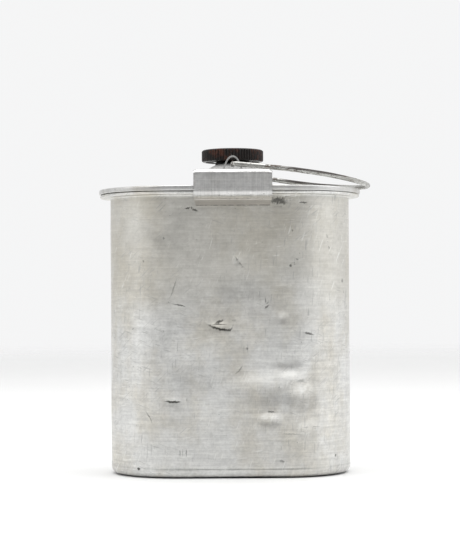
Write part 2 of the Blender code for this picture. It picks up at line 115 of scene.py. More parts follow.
# Yoke
YOKE_SHEET = 1.2 * MM
YOKE_HALF_WIDTH = YOKE_HIGH.x - NECK_X
YOKE_FACE = YOKE_HIGH.y - YOKE_SHEET / 2
YOKE_LIP = POT_RADIUS + 1.1 * MM
YOKE_LIP_END = YOKE_LOW.z
YOKE_LIP_TOP = YOKE_LIP_END + 4.4 * MM
YOKE_HOOK = YOKE_LIP_END + 6 * MM
YOKE_SHOULDER = YOKE_LIP_END + 21.2 * MM
YOKE_SLOT = 12.8 * MM
YOKE_ROWS = 78  # steps over the yoke's top, from front to back
YOKE_COLUMNS = 47
YOKE_RISE = 1.6 * MM  # how much the top rises from its front edge to its middle
YOKE_SIDE_DROP = 2.7 * MM  # how much the top falls to its left and right edges
YOKE_DOME = 4.6 * MM
YOKE_DOME_INNER = 15.5 * MM
YOKE_DOME_OUTER = 25.5 * MM
YOKE_DOME_SQUEEZE = 1.1  # the dome is this much shorter from front to back
YOKE_SLIT_PLAY = 0.3 * MM

# Loops and bail
EAR_SHEET = 1 * MM
EAR_NEAR = EAR_LOW.y
EAR_FAR = EAR_HIGH.y
EAR_TOP = EAR_HIGH.z - EAR_SHEET / 2
EAR_TAB_END = (EAR_HIGH.x - EAR_LOW.x) / 2
EAR_LEG = EAR_TAB_END - 3.7 * MM
EAR_SPAN = EAR_TAB_END - 4 * MM
EAR_DROP = 7.1 * MM
EAR_STEPS = 6  # steps across the strip
WIRE_RADIUS = 1.55 * MM
BAIL_PIVOT = frame["joints"][-1]["pos_m"][2]
BAIL_HALF_WIDTH = 36 * MM
BAIL_REACH = BAIL_HIGH.x - WIRE_RADIUS - NECK_X
BAIL_HOOK_END = 25.2 * MM
BAIL_BEND = 2.8 * MM
BAIL_FRONT_BOW = 1.3 * MM  # the hand-bent wire bows up at the front and down at the back
BAIL_BACK_BOW = -1.6 * MM
BAIL_DEGREES = 60
WIRE_SIDES = 20
BAIL_END_HEIGHT = BAIL_LOW.z + WIRE_RADIUS


# ---------------------------------------------------------------- profiles and meshes


def arc_at(before, corner, after, radius, steps):
    """The points of the arc of that radius that rounds off a corner."""
    back = (before - corner).normalized()
    ahead = (after - corner).normalized()
    half = back.angle(ahead) / 2
    centre = corner + (back + ahead).normalized() * (radius / math.sin(half))
    first = corner + back * (radius / math.tan(half)) - centre
    last = corner + ahead * (radius / math.tan(half)) - centre
    turn = first.angle_signed(last)
    arc = []
    for i in range(steps + 1):
        a = -turn * i / steps
        arc.append(centre + Vector((
            first.x * math.cos(a) - first.y * math.sin(a),
            first.x * math.sin(a) + first.y * math.cos(a),
        )))
    return arc


def rounded(corners):
    """A polyline through corners. A corner (a, b) stays sharp, and (a, b, radius, steps) becomes an arc."""
    points = [Vector(c[:2]) for c in corners]
    line = []
    for i, corner in enumerate(corners):
        if len(corner) == 2:
            line.append(points[i])
        else:
            line += arc_at(points[i - 1], points[i], points[i + 1], *corner[2:])
    return line


def finer(line, step):
    """The same line with its long runs cut into pieces no longer than step."""
    out = [line[0]]
    for a, b in zip(line, line[1:]):
        count = max(1, math.ceil((b - a).length / step))
        out += [a.lerp(b, i / count) for i in range(1, count + 1)]
    return out


def plan_columns(end_steps, side_steps):
    """Stations round the oblong: (point on the middle line, outward direction)."""
    columns = []
    for side in (1, -1):
        for i in range(side_steps):
            columns.append((side * STRAIGHT * (2 * i / side_steps - 1), 0, -side))
        for i in range(end_steps):
            a = math.pi * i / end_steps - math.pi / 2
            columns.append((side * STRAIGHT, side * math.cos(a), side * math.sin(a)))
    return columns


def in_scene(name, data):
    obj = bpy.data.objects.new(name, data)
    bpy.context.scene.collection.objects.link(obj)
    return obj


def mesh_object(name, bm):
    """A new object from a bmesh, which is freed."""
    mesh = bpy.data.meshes.new(name)
    bm.to_mesh(mesh)
    bm.free()
    return in_scene(name, mesh)


def finished(name, bm, smooth_degrees=SMOOTH_DEGREES):
    """A new object from a bmesh, with merged points, outward normals and smooth shading."""
    bmesh.ops.remove_doubles(bm, verts=bm.verts, dist=1e-6)
    bmesh.ops.dissolve_degenerate(bm, edges=bm.edges, dist=1e-7)
    bmesh.ops.recalc_face_normals(bm, faces=bm.faces)
    obj = mesh_object(name, bm)
    obj.data.shade_smooth()
    obj.data.set_sharp_from_angle(angle=math.radians(smooth_degrees))
    return obj


def skin(bm, rings, closed=True):
    """Makes the faces between each ring of points and the next. A ring that isn't closed is a strip."""
    for low, high in zip(rings, rings[1:]):
        for i in range(len(low) if closed else len(low) - 1):
            j = (i + 1) % len(low)
            bm.faces.new((low[i], low[j], high[j], high[i]))


def grid_mesh(name, rows, close_rows=False, smooth_degrees=SMOOTH_DEGREES):
    """A mesh through rows of points that each close on themselves."""
    bm = bmesh.new()
    grid = [[bm.verts.new(p) for p in row] for row in rows]
    skin(bm, grid + grid[:1] if close_rows else grid)
    return finished(name, bm, smooth_degrees)


def capped(name, bm, rings, smooth_degrees):
    """A closed object through rings of points, with a flat face at each end."""
    skin(bm, rings)
    bm.faces.new(rings[0])
    bm.faces.new(rings[-1])
    return finished(name, bm, smooth_degrees)


def tangent_at(line, i):
    return (line[min(i + 1, len(line) - 1)] - line[max(i - 1, 0)]).normalized()


def oblong(name, line, columns, wear):
    """The profile of (distance from the middle line, height) carried round the oblong plan.

    wear(x, y, z, radius) says how far a point is moved out, and how far up.
    """
    rows = []
    for p in line:
        row = []
        for foot, dx, dy in columns:
            out, up = wear(foot + p.x * dx, p.x * dy, p.y, p.x)
            row.append((foot + (p.x + out) * dx, (p.x + out) * dy, p.y + up))
        rows.append(row)
    return grid_mesh(name, rows)


def turned(name, line, steps, radius_at=None, close_rows=False, smooth_degrees=SMOOTH_DEGREES):
    """The profile of (radius, height) turned about the neck's axis."""
    rows = []
    for p in line:
        row = []
        for i in range(steps):
            a = 2 * math.pi * i / steps
            r = radius_at(a, p.x, p.y) if radius_at else p.x
            row.append((NECK_X + r * math.cos(a), r * math.sin(a), p.y))
        rows.append(row)
    return grid_mesh(name, rows, close_rows, smooth_degrees)


def round_cutter(name, radius, low, high):
    bm = bmesh.new()
    bmesh.ops.create_cone(
        bm, cap_ends=True, segments=ROUND_STEPS, radius1=radius, radius2=radius, depth=high - low
    )
    bmesh.ops.translate(bm, verts=bm.verts, vec=(NECK_X, 0, (low + high) / 2))
    return mesh_object(name, bm)


def box_cutter(name, low, high):
    bm = bmesh.new()
    bmesh.ops.create_cube(bm, size=1)
    for v in bm.verts:
        v.co = Vector(high[k] if v.co[k] > 0 else low[k] for k in range(3))
    return mesh_object(name, bm)


def apply_modifiers(obj):
    """Swaps the object's mesh for the one its modifiers make."""
    depsgraph = bpy.context.evaluated_depsgraph_get()
    made = bpy.data.meshes.new_from_object(obj.evaluated_get(depsgraph))
    obj.modifiers.clear()
    obj.data = made
    return obj


def cut(obj, cutters):
    for cutter in cutters:
        modifier = obj.modifiers.new("cut", "BOOLEAN")
        modifier.operation = "DIFFERENCE"
        modifier.object = cutter
        modifier.solver = "EXACT"
    apply_modifiers(obj)
    for cutter in cutters:
        bpy.data.objects.remove(cutter)
    return obj


def soften_edges(obj, width, segments=2, degrees=40):
    """Rounds the sharp edges of a finished mesh a little, as use does."""
    bevel = obj.modifiers.new("soft_edges", "BEVEL")
    bevel.width = width
    bevel.segments = segments
    bevel.limit_method = "ANGLE"
    bevel.angle_limit = math.radians(degrees)
    bevel.use_clamp_overlap = True
    return apply_modifiers(obj)


def smoothstep(value, low, high):
    t = max(0, min(1, (value - low) / (high - low)))
    return t * t * (3 - 2 * t)


# ---------------------------------------------------------------- pot

# Dents in the pot's front: x, z, half width, half height and depth, in millimetres
FRONT_DENTS = (
    (24, 54.5, 27, 13, 0.95),
    (45, 49.5, 12.5, 10.5, 1.15),
    (36, 66, 14, 5, -0.6),
    (41.5, 58.3, 4.5, 2.2, 0.2),
    (24, 35, 9, 4.6, 0.7),
    (24.5, 40.4, 5.5, 2, -0.25),
    (31.8, 97, 4, 4, 0.45),
    (-6.5, 91.5, 9.5, 3.6, 0.55),
    (-34.5, 46, 6.5, 2.6, 0.45),
    (8, 122, 22, 17, 0.55),
    (-42, 150, 11, 9, 0.25),
    (-22, 70, 24, 20, 0.4),
    (4.5, 132, 3.5, 4, 0.25),
    (52, 112, 14, 18, 0.4),
    (-58, 95, 12, 20, 0.4),
    (48, 28, 12, 8, 0.5),
)
# The other dents come by chance, in metres
OTHER_DENTS = 26
DENT_SEED = 11
DENT_HEIGHTS = (0.018, 0.155)
DENT_SIZES = (0.003, 0.016)
DENT_DEPTHS = (0.03, 0.09)  # as shares of their size
DEEPEST = 0.001


def wall_y(x, radius):
    """How far the oblong's wall stands from its long middle plane at x."""
    over = max(0, abs(x) - STRAIGHT)
    return math.sqrt(max(0, radius * radius - over * over))


def all_dents():
    """(centre, half width, half height, depth) of each dent: the front's listed, the others by chance."""
    dents = []
    for x, z, across, up, depth in FRONT_DENTS:
        centre = Vector((x * MM, -wall_y(x * MM, POT_RADIUS), z * MM))
        dents.append((centre, across * MM, up * MM, depth * MM))
    chance = random.Random(DENT_SEED)
    columns = [c for c in plan_columns(40, 20) if c[2] > -0.2]
    for _ in range(OTHER_DENTS):
        foot, dx, dy = chance.choice(columns)
        z = chance.uniform(*DENT_HEIGHTS)
        size = chance.uniform(*DENT_SIZES)
        centre = Vector((foot + POT_RADIUS * dx, POT_RADIUS * dy, z))
        depth = min(DEEPEST, size * chance.uniform(*DENT_DEPTHS))
        dents.append((centre, size * chance.uniform(0.8, 1.5), size, depth))
    return dents


DENTS = all_dents()


def wall_wear(x, y, z, radius):
    """How far the pot's wall is pushed out, and up, at a place by its dents and by years of handling."""
    if radius < POT_RADIUS - 1.5 * POT_WALL:
        return 0, 0
    if z > RIM_UNDER - 0.5 * MM:
        bent = RIM_WAVE * (noise.noise(Vector((x * 38, y * 38, 1.3))) - 0.6)
        return bent * smoothstep(radius, POT_RADIUS, RIM_RADIUS), 0
    held = smoothstep(z, *WEAR_STARTS) * (1 - smoothstep(z, *WEAR_ENDS))
    push = 0
    for centre, across, up, depth in DENTS:
        dz = (z - centre.z) / up
        if abs(dz) < 1:
            near = math.hypot(x - centre.x, y - centre.y) / across
            reach = near * near + dz * dz
            if reach < 1:
                push -= depth * (1 - reach) ** 2
    for far, round_it, up_it in WALL_WAVES:
        push += far * noise.noise(Vector((x * round_it, y * round_it, z * up_it)))
    return push * held, 0


# Rubbed marks on the front, in millimetres: half width, darkness, and the (x, z) places each runs through
FRONT_MARKS = (
    (0.85, 0.95, (-14.2, 93.6), (-10.4, 91.6), (-5.2, 90.1), (0.6, 89.7), (1.4, 92.2)),
    (0.9, 0.85, (-8.4, 94.3), (-4.6, 95.9)),
    (0.5, 0.75, (-34.8, 106), (-26.9, 104.3)),
    (0.4, 0.4, (-32.2, 121.3), (-34.6, 114), (-36.4, 109.6)),
    (0.6, 0.8, (-26.9, 163.8), (-25.6, 163.6), (-24.1, 164.4)),
    (0.7, 0.8, (-22.6, 163.3), (-19.6, 162.2)),
    (0.75, 0.5, (-40.2, 145.9), (-40, 145.5)),
    (0.65, 0.45, (-52.9, 132.2), (-52.7, 131.6)),
    (2.3, 0.75, (26, 168.2), (30, 168.4), (33.4, 167.4)),
    (0.65, 0.7, (42.4, 167.2), (47, 166.9)),
    (0.55, 0.6, (3.5, 134.4), (5, 131.4), (7.2, 129.2)),
    (0.85, 0.75, (36.6, 128.9), (36.8, 128.5)),
    (0.7, 0.5, (37.8, 150.2), (38, 149.8)),
    (0.6, 0.45, (40.2, 132.8), (41.2, 132.4)),
    (0.42, 0.5, (21.2, 109.3), (21.7, 106.4)),
    (0.55, 0.65, (23.2, 104.7), (21.2, 103.3)),
    (0.65, 0.75, (44.5, 88.1), (50.6, 86.8)),
    (0.75, 0.95, (-30, 46.9), (-35.6, 46.5), (-39.8, 47)),
    (0.42, 0.5, (-51.7, 40.8), (-49, 36.9), (-47.8, 33.6)),
    (0.48, 0.4, (-30.9, 17.4), (-30.8, 13.8)),
    (0.52, 0.5, (-27, 18), (-26.9, 13.8)),
    (0.8, 0.9, (-56.4, 5.7), (-56.2, 5.3)),
    (0.7, 0.55, (9.9, 78.8), (10.2, 78.3)),
    (0.55, 0.42, (7.1, 68.2), (5.6, 65.6), (3.2, 63.6)),
    (0.48, 0.35, (44.3, 30.5), (54, 30.9)),
    (0.48, 0.3, (30.6, 27), (42.6, 26.6)),
    (0.85, 0.5, (29.9, 10.6), (31.8, 10.2)),
    (0.65, 0.75, (64, 12.7), (64.1, 12)),
    (0.7, 0.5, (69.3, 120.5), (69.3, 118.9)),
    (0.65, 0.7, (22.6, 40.4), (26.6, 40.1)),
    (0.7, 0.55, (26.9, 34.9), (27.2, 34.6)),
    (0.7, 0.4, (37, 54.8), (36.4, 52.6), (36, 50.6)),
    (1, 0.35, (41.4, 58.6), (44, 59.2)),
    (0.55, 0.4, (59.3, 147.4), (59.6, 146)),
    (0.6, 0.45, (60.4, 140.4), (60.7, 139.4)),
)
BACK_MARKS = 20
MARK_SEED = 4
MARK_REACH = 4 * MM  # how far from a mark its place is kept
MARK_FADE = 0.35  # the share of that reach over which its darkness fades


def all_marks():
    """The rubbed marks: which side of the pot (-1 the front), half width, darkness, and their places."""
    marks = [(-1, *mark) for mark in FRONT_MARKS]
    chance = random.Random(MARK_SEED)
    for _ in range(BACK_MARKS):
        x, z = chance.uniform(-60, 60), chance.uniform(12, 160)
        end = (x + chance.uniform(-6, 6), z + chance.uniform(-3, 3))
        middle = ((x + end[0]) / 2 + chance.uniform(-1, 1), (z + end[1]) / 2 + chance.uniform(-1, 1))
        marks.append((1, chance.uniform(0.3, 0.8), chance.uniform(0.2, 0.8), (x, z), middle, end))
    return marks


def points_of(mesh):
    points = np.empty(3 * len(mesh.vertices), dtype=np.float32)
    mesh.vertices.foreach_get("co", points)
    return points.reshape(-1, 3).astype(float).T


def rub_marks(pot):
    """Stores where each outside point lies in its nearest mark.

    That is its shares of the mark's half length and half width, and how dark the mark is.
    """
    mesh = pot.data
    x, y, z = points_of(mesh)
    radius = np.hypot(x - np.clip(x, -STRAIGHT, STRAIGHT), y)
    nearest = np.where(radius > POT_RADIUS - POT_WALL / 2, MARK_REACH, 0)
    rub = np.zeros((len(x), 3))
    for side, half_width, dark, *places in all_marks():
        line = [np.array(place) * MM for place in places]
        lengths = [np.linalg.norm(b - a) for a, b in zip(line, line[1:])]
        half_length = sum(lengths) / 2 + half_width * MM
        gone = 0
        for i, length in enumerate(lengths):
            way = (line[i + 1] - line[i]) / length
            from_x, from_z = x - line[i][0], z - line[i][1]
            along = from_x * way[0] + from_z * way[1]
            held = np.clip(along, 0, length)
            away = np.hypot(from_x - held * way[0], from_z - held * way[1])
            across = from_z * way[0] - from_x * way[1]
            beyond = (along > length) if i == len(lengths) - 1 else np.zeros(len(x), bool)
            beyond |= (along < 0) if i == 0 else False
            along = np.where(beyond, along, held)
            across = np.where(beyond, across, np.copysign(away, across))
            mine = (away < nearest) & (y * side > 0)
            shares = ((gone + along - sum(lengths) / 2) / half_length, across / (half_width * MM))
            rub[mine] = np.stack([*shares, np.full(len(x), dark)], axis=1)[mine]
            nearest = np.where(mine, away, nearest)
            gone += length
    rub[:, 2] *= np.clip((MARK_REACH - nearest) / (MARK_FADE * MARK_REACH), 0, 1)
    stored = mesh.attributes.new("rub", "FLOAT_VECTOR", "POINT")
    stored.data.foreach_set("vector", rub.astype(np.float32).ravel())
    return pot


# Places on the front painted lighter, mostly on the dents' slopes: painted highlights that stand also for
# polishing by handling, in millimetres: x, z, half width, half height; how bright
FRONT_HIGHLIGHTS = (
    (38, 62.3, 12, 3, 0.75),
    (18, 60, 18, 4.5, 0.45),
    (44.5, 53, 7, 5.6, 0.75),
    (24.5, 37.4, 9, 2.3, 0.75),
    (32, 97, 4.2, 3.2, 0.45),
    (-57.5, 84, 3, 6, 0.45),
    (-8, 88, 9, 2, 0.3),
    (49, 32, 9, 4, 0.3),
    (4.5, 131, 4, 3, 0.25),
)
CHANCE_HIGHLIGHT = 0.25
HIGHLIGHT_SHARE = 0.45  # how far above a chance dent's centre its painted highlight sits, as a share of its height


def paint_highlights(pot):
    """Stores how much painted highlight each point of the pot gets: at the listed places on the front, and
    above each chance dent.
    """
    mesh = pot.data
    x, y, z = points_of(mesh)
    bright = np.zeros(len(x))
    for at_x, at_z, across, up, strength in FRONT_HIGHLIGHTS:
        reach = ((x / MM - at_x) / across) ** 2 + ((z / MM - at_z) / up) ** 2
        bright = np.maximum(bright, strength * np.clip(1 - reach, 0, 1) * (y < 0))
    for centre, across, up, _ in DENTS[len(FRONT_DENTS):]:
        away = np.hypot(x - centre.x, y - centre.y) / across
        reach = away ** 2 + ((z - centre.z - HIGHLIGHT_SHARE * up) / (HIGHLIGHT_SHARE * up)) ** 2
        bright = np.maximum(bright, CHANCE_HIGHLIGHT * np.clip(1 - reach, 0, 1))
    stored = mesh.attributes.new("painted_highlight", "FLOAT", "POINT")
    stored.data.foreach_set("value", bright.astype(np.float32))
    return pot


def make_pot():
    inner = POT_RADIUS - POT_WALL
    outside = rounded([
        (0, 0),
        (POT_RADIUS, 0, POT_BASE_ROUND, 8),
        (POT_RADIUS, 5.4 * MM),
        (POT_RADIUS - 0.14 * MM, 5.9 * MM, 0.2 * MM, 2),
        (POT_RADIUS, 6.5 * MM),
        (POT_RADIUS, RIM_UNDER, 0.8 * MM, 4),
        (RIM_RADIUS, RIM_UNDER, 0.95 * MM, 6),
        (RIM_RADIUS, RIM_TOP, 0.95 * MM, 6),
        (inner, RIM_TOP, 1.2 * MM, 5),
        (inner, RIM_TOP - 6 * MM),
    ])
    inside = rounded([
        (inner, RIM_TOP - 6 * MM),
        (inner, POT_WALL, POT_BASE_ROUND - POT_WALL, 5),
        (0, POT_WALL),
    ])
    line = finer(outside, POT_STEP) + finer(inside, 4 * POT_STEP)[1:]
    flat = [p for p in line if p.x > 1e-6 or p.y > 1e-6]
    shell = oblong("pot_shell", [Vector((0, 0))] + flat, plan_columns(110, 50), wall_wear)
    return paint_highlights(rub_marks(shell))


# ---------------------------------------------------------------- flask's upper half


def seam_wear(x, y, z, radius):
    """The rolled seam isn't quite even, and it stands open a little at the left end."""
    if radius < SEAM_RADIUS - 4 * MM:
        return 0, 0
    wave = noise.noise(Vector((x * 45, y * 45, 3.7)))
    low = 1 - smoothstep(z, SEAM_UNDER, SEAM_UNDER + 1.2 * MM)
    opened = smoothstep(-x, 40 * MM, 76 * MM)
    return 0.0001 * (wave - 1), low * (0.00022 * opened - 0.00012)


def make_lid():
    lip_end = POT_RADIUS + 1 * MM
    lip_top = SEAM_UNDER + 0.4 * MM
    wrap = RIM_RADIUS - 0.5 * MM
    groove_top = LID_GROOVE + LID_SHEET
    line = rounded([
        (0, LID_DOME),
        (LID_FLAT, LID_DOME, 10 * MM, 7),
        (LID_CHUCK - 4 * MM, groove_top, 3 * MM, 5),
        (LID_CHUCK - LID_SHEET, groove_top, 1 * MM, 5),
        (LID_CHUCK - LID_SHEET, SEAM_TOP, 1 * MM, 6),
        (SEAM_RADIUS, SEAM_TOP, 0.8 * MM, 7),
        (SEAM_RADIUS, SEAM_UNDER, 0.5 * MM, 4),
        (lip_end, SEAM_UNDER),
        (lip_end, lip_top),
        (wrap, lip_top),
        (wrap, SEAM_OVER),
        (LID_CHUCK, SEAM_OVER, 1.2 * MM, 4),
        (LID_CHUCK, LID_GROOVE, 1.6 * MM, 4),
        (LID_CHUCK - 4.2 * MM, LID_GROOVE, 3 * MM, 4),
        (LID_FLAT, LID_DOME - LID_SHEET, 10 * MM, 5),
        (0, LID_DOME - LID_SHEET),
    ])
    lid = oblong("flask_lid", finer(line, 3 * MM), plan_columns(80, 30), seam_wear)
    return cut(lid, [round_cutter("neck_hole", NECK_HOLE, LID_DOME - 4 * MM, LID_DOME + 4 * MM)])


# ---------------------------------------------------------------- neck, stopper and seal


def ridge(angle, height):
    """0 in the stopper's thread groove and 1 on its crest, a right-hand thread."""
    return 0.5 + 0.5 * math.cos(2 * math.pi * height / THREAD_PITCH - angle)


def fade(height, low, high):
    return max(0, min(1, min(height - low, high - height) / THREAD_FADE))


def thread_rings(radius, low, high):
    count = round((high - low) / THREAD_PITCH * 12)
    return [Vector((radius, low + (high - low) * i / count)) for i in range(count + 1)]


def make_neck():
    foot = LID_DOME + 0.15 * MM
    outside = rounded([
        (SPIGOT_RADIUS, foot),
        (NECK_FOOT_RADIUS, foot),
        (NECK_FOOT_RADIUS, foot + 1 * MM, 0.4 * MM, 3),
        (NECK_RADIUS, NECK_HIGH.z - 9.8 * MM, 2 * MM, 5),
        (NECK_RADIUS, NECK_HIGH.z, 0.5 * MM, 4),
        (BORE_RADIUS + 0.5 * MM, NECK_HIGH.z),
    ])
    bore = thread_rings(BORE_RADIUS, THREAD_LOW, THREAD_HIGH)[::-1]
    low = [Vector((BORE_RADIUS, NECK_LOW.z)), Vector((SPIGOT_RADIUS, NECK_LOW.z))]

    def radius_at(angle, radius, height):
        if abs(radius - BORE_RADIUS) > 1e-5:
            return radius
        return BORE_RADIUS - THREAD_DEPTH * (1 - ridge(angle, height)) * fade(height, THREAD_LOW, THREAD_HIGH)

    return turned("neck_collar", outside + bore + low, ROUND_STEPS, radius_at, close_rows=True)


def make_head():
    """The ribbed head. Its ribs are round-topped and fade into the rounded rim above and the edge below."""
    low = HEAD_UNDER + 0.5 * MM
    high = HEAD_TOP - 0.9 * MM
    line = rounded([
        (0, HEAD_UNDER),
        (12 * MM, HEAD_UNDER),
        (12.6 * MM, HEAD_UNDER + 0.5 * MM),
        (16.6 * MM, HEAD_UNDER + 0.5 * MM),
        (17.2 * MM, HEAD_UNDER),
        (HEAD_RADIUS - 0.2 * MM, HEAD_UNDER, 0.3 * MM, 2),
        (HEAD_RADIUS, low),
        (HEAD_RADIUS, low + 0.5 * MM),
        (HEAD_RADIUS, high - 0.6 * MM),
        (HEAD_RADIUS, HEAD_TOP - 0.35 * MM, 0.8 * MM, 5),
        (12 * MM, HEAD_TOP - 0.05 * MM, 6 * MM, 4),
        (0, HEAD_TOP),
    ])

    def radius_at(angle, radius, height):
        if radius < HEAD_RADIUS - 0.6 * MM or height < HEAD_UNDER + 0.2 * MM:
            return radius
        start = smoothstep(height, low - 0.4 * MM, low + 0.3 * MM)
        stand = start * (1 - smoothstep(height, high - 0.5 * MM, HEAD_TOP))
        wave = 0.5 + 0.5 * math.cos(angle * KNURLS)
        return radius + KNURL_DEPTH * stand * wave ** 0.6

    return turned("stopper_head", finer(line, 2.5 * MM), KNURLS * 8, radius_at, smooth_degrees=50)


def make_plug():
    root = BORE_RADIUS - 0.4 * MM - THREAD_DEPTH
    top = HEAD_UNDER + 0.6 * MM
    thread_end = THREAD_HIGH + 0.5 * MM
    hollow_top = HEAD_LOW.z + 12 * MM
    line = [
        Vector((0, hollow_top)),
        Vector((PLUG_HOLLOW - 0.6 * MM, hollow_top)),
        Vector((PLUG_HOLLOW, hollow_top - 0.6 * MM)),
        Vector((PLUG_HOLLOW, HEAD_LOW.z)),
        *thread_rings(root, HEAD_LOW.z, thread_end),
        Vector((root, top)),
        Vector((0, top)),
    ]

    def radius_at(angle, radius, height):
        if abs(radius - root) > 1e-5:
            return radius
        return root + THREAD_DEPTH * ridge(angle, height) * fade(height, HEAD_LOW.z, thread_end)

    return turned("stopper_plug", line, 72, radius_at)


def make_seal():
    """A rubber ring, pressed out a little round its middle."""
    inner = 9.3 * MM
    outer = SEAL_HIGH.x - NECK_X - 0.25 * MM
    middle = (SEAL_LOW.z + SEAL_HIGH.z) / 2
    line = rounded([
        (inner, SEAL_LOW.z),
        (outer - 0.1 * MM, SEAL_LOW.z, 0.5 * MM, 4),
        (outer + 0.35 * MM, middle, 1.2 * MM, 4),
        (outer - 0.1 * MM, SEAL_HIGH.z, 0.5 * MM, 4),
        (inner, SEAL_HIGH.z),
    ])
    return turned("seal_ring", line, ROUND_STEPS, close_rows=True)


# ---------------------------------------------------------------- yoke and loops


def yoke_lift(x, y):
    """How far the yoke's top stands above its front edge: a crown, a dome at the neck, worn corners."""
    crown = YOKE_RISE * (1 - (y / YOKE_FACE) ** 2)
    sides = YOKE_SIDE_DROP * (x / YOKE_HALF_WIDTH) ** 2 * (1 - smoothstep(abs(y), 38 * MM, 49 * MM))
    reach = math.hypot(x, y * YOKE_DOME_SQUEEZE)
    dome = YOKE_DOME * (1 - smoothstep(reach, YOKE_DOME_INNER, YOKE_DOME_OUTER))
    corner = 1.1 * MM * smoothstep(abs(x), YOKE_HALF_WIDTH - 2.5 * MM, YOKE_HALF_WIDTH + 0.5 * MM) ** 2
    worn = corner * (1.6 if x > 0 else 1) * smoothstep(abs(y), 40 * MM, 49 * MM)
    return crown - sides + dome - worn


def yoke_section():
    """The yoke's middle surface from its side, (y, z), from the front lip over the top to the back lip."""
    corners = [
        (YOKE_LIP, YOKE_LIP_END),
        (YOKE_LIP, YOKE_LIP_TOP, 1 * MM, 5),
        (YOKE_FACE, YOKE_HOOK, 3.2 * MM, 9),
        (YOKE_FACE, YOKE_SHOULDER, 2.6 * MM, 9),
    ]
    front = rounded([(-y, *rest) for y, *rest in corners] + [(0, YOKE_SHOULDER)])[:-1]
    start = front[-1].x
    flat = [Vector((start * (1 - 2 * i / YOKE_ROWS), YOKE_SHOULDER)) for i in range(1, YOKE_ROWS)]
    back = [Vector((-p.x, p.y)) for p in reversed(front)]
    return finer(front, 1.2 * MM) + flat + finer(back, 1.2 * MM)


def make_yoke():
    half = YOKE_HALF_WIDTH
    bm = bmesh.new()
    grid = []
    for p in yoke_section():
        row = []
        for i in range(YOKE_COLUMNS + 1):
            x = half * (2 * i / YOKE_COLUMNS - 1)
            on_top = smoothstep(p.y, YOKE_SHOULDER - 2.6 * MM, YOKE_SHOULDER)
            below = max(0, YOKE_LIP_TOP - p.y) / (YOKE_LIP_TOP - YOKE_LIP_END)
            z = p.y + on_top * yoke_lift(x, p.x)
            wave = 0.0001 * noise.noise(Vector((x * 70, p.x * 70, z * 70)))
            out = wave if p.y < YOKE_SHOULDER - 1 * MM else 0
            up = wave if p.y >= YOKE_SHOULDER - 1 * MM else 0
            y = p.x + math.copysign(out, p.x) - math.copysign(abs(out) * 0.5, p.x)
            row.append(bm.verts.new((NECK_X + x * (1 - 0.06 * below), y, z + up - abs(up))))
        grid.append(row)
    skin(bm, grid, closed=False)
    yoke = finished("yoke_strap", bm)
    thick = yoke.modifiers.new("sheet", "SOLIDIFY")
    thick.thickness = YOKE_SHEET
    thick.offset = 0
    thick.use_even_offset = True
    apply_modifiers(yoke)
    low, high = YOKE_SHOULDER - 4 * MM, YOKE_SHOULDER + 12 * MM
    cutters = [
        round_cutter("clearance", YOKE_SLOT, low, high),
        box_cutter("way_out", (NECK_X - 2 * half, -YOKE_SLOT, low), (NECK_X, YOKE_SLOT, high)),
    ]
    reach = EAR_SHEET / 2 + YOKE_SLIT_PLAY
    for y_sign in (-1, 1):
        for x_sign in (-1, 1):
            ys = sorted((y_sign * (EAR_NEAR - YOKE_SLIT_PLAY), y_sign * (EAR_FAR + YOKE_SLIT_PLAY)))
            x = NECK_X + x_sign * EAR_LEG
            cutters.append(box_cutter("slit", (x - reach, ys[0], low), (x + reach, ys[1], high)))
    cut(yoke, cutters)
    yoke.data.set_sharp_from_angle(angle=math.radians(40))
    return soften_edges(yoke, 0.22 * MM, 2)


def ear_middle():
    """The loop's strip seen from the front, (x, z): an arch, two legs and the tabs bent out below."""
    knee = EAR_TOP - EAR_DROP
    tab = EAR_LOW.z + EAR_SHEET / 2
    arch = []
    for i in range(25):
        share = i / 12 - 1
        arch.append(Vector((EAR_SPAN * share, EAR_TOP - EAR_DROP * abs(share) ** 2.3)))
    left = [
        Vector((-EAR_TAB_END, tab)),
        Vector((-EAR_LEG - 0.2 * MM, tab)),
        Vector((-EAR_LEG, tab + 0.3 * MM)),
        Vector((-EAR_LEG, knee - 0.6 * MM)),
    ]
    return left + arch + [Vector((-p.x, p.y)) for p in reversed(left)]


def make_ear(name, y_sign):
    """One loop, its strip thinner towards its edges."""
    middle = ear_middle()
    bm = bmesh.new()
    rings = []
    for i, p in enumerate(middle):
        along = tangent_at(middle, i)
        out = Vector((-along.y, along.x)) * EAR_SHEET / 2
        ring = []
        for face in (1, -1):
            for j in range(EAR_STEPS + 1):
                t = j / EAR_STEPS if face == 1 else 1 - j / EAR_STEPS
                edge = 1 - 0.25 * (2 * t - 1) ** 6
                q = p + out * face * edge
                y = EAR_NEAR + (EAR_FAR - EAR_NEAR) * t
                ring.append(bm.verts.new((NECK_X + q.x, y_sign * y, q.y)))
        rings.append(ring)
    return capped(name, bm, rings, 50)


# ---------------------------------------------------------------- bail


def bail_height(x, bow):
    """Height of the folded bail's wire at a place along it: a straight fall from the pivot, plus its bow."""
    share = x / BAIL_REACH
    return BAIL_PIVOT + (BAIL_END_HEIGHT - BAIL_PIVOT) * share + bow * math.sin(math.pi * share)


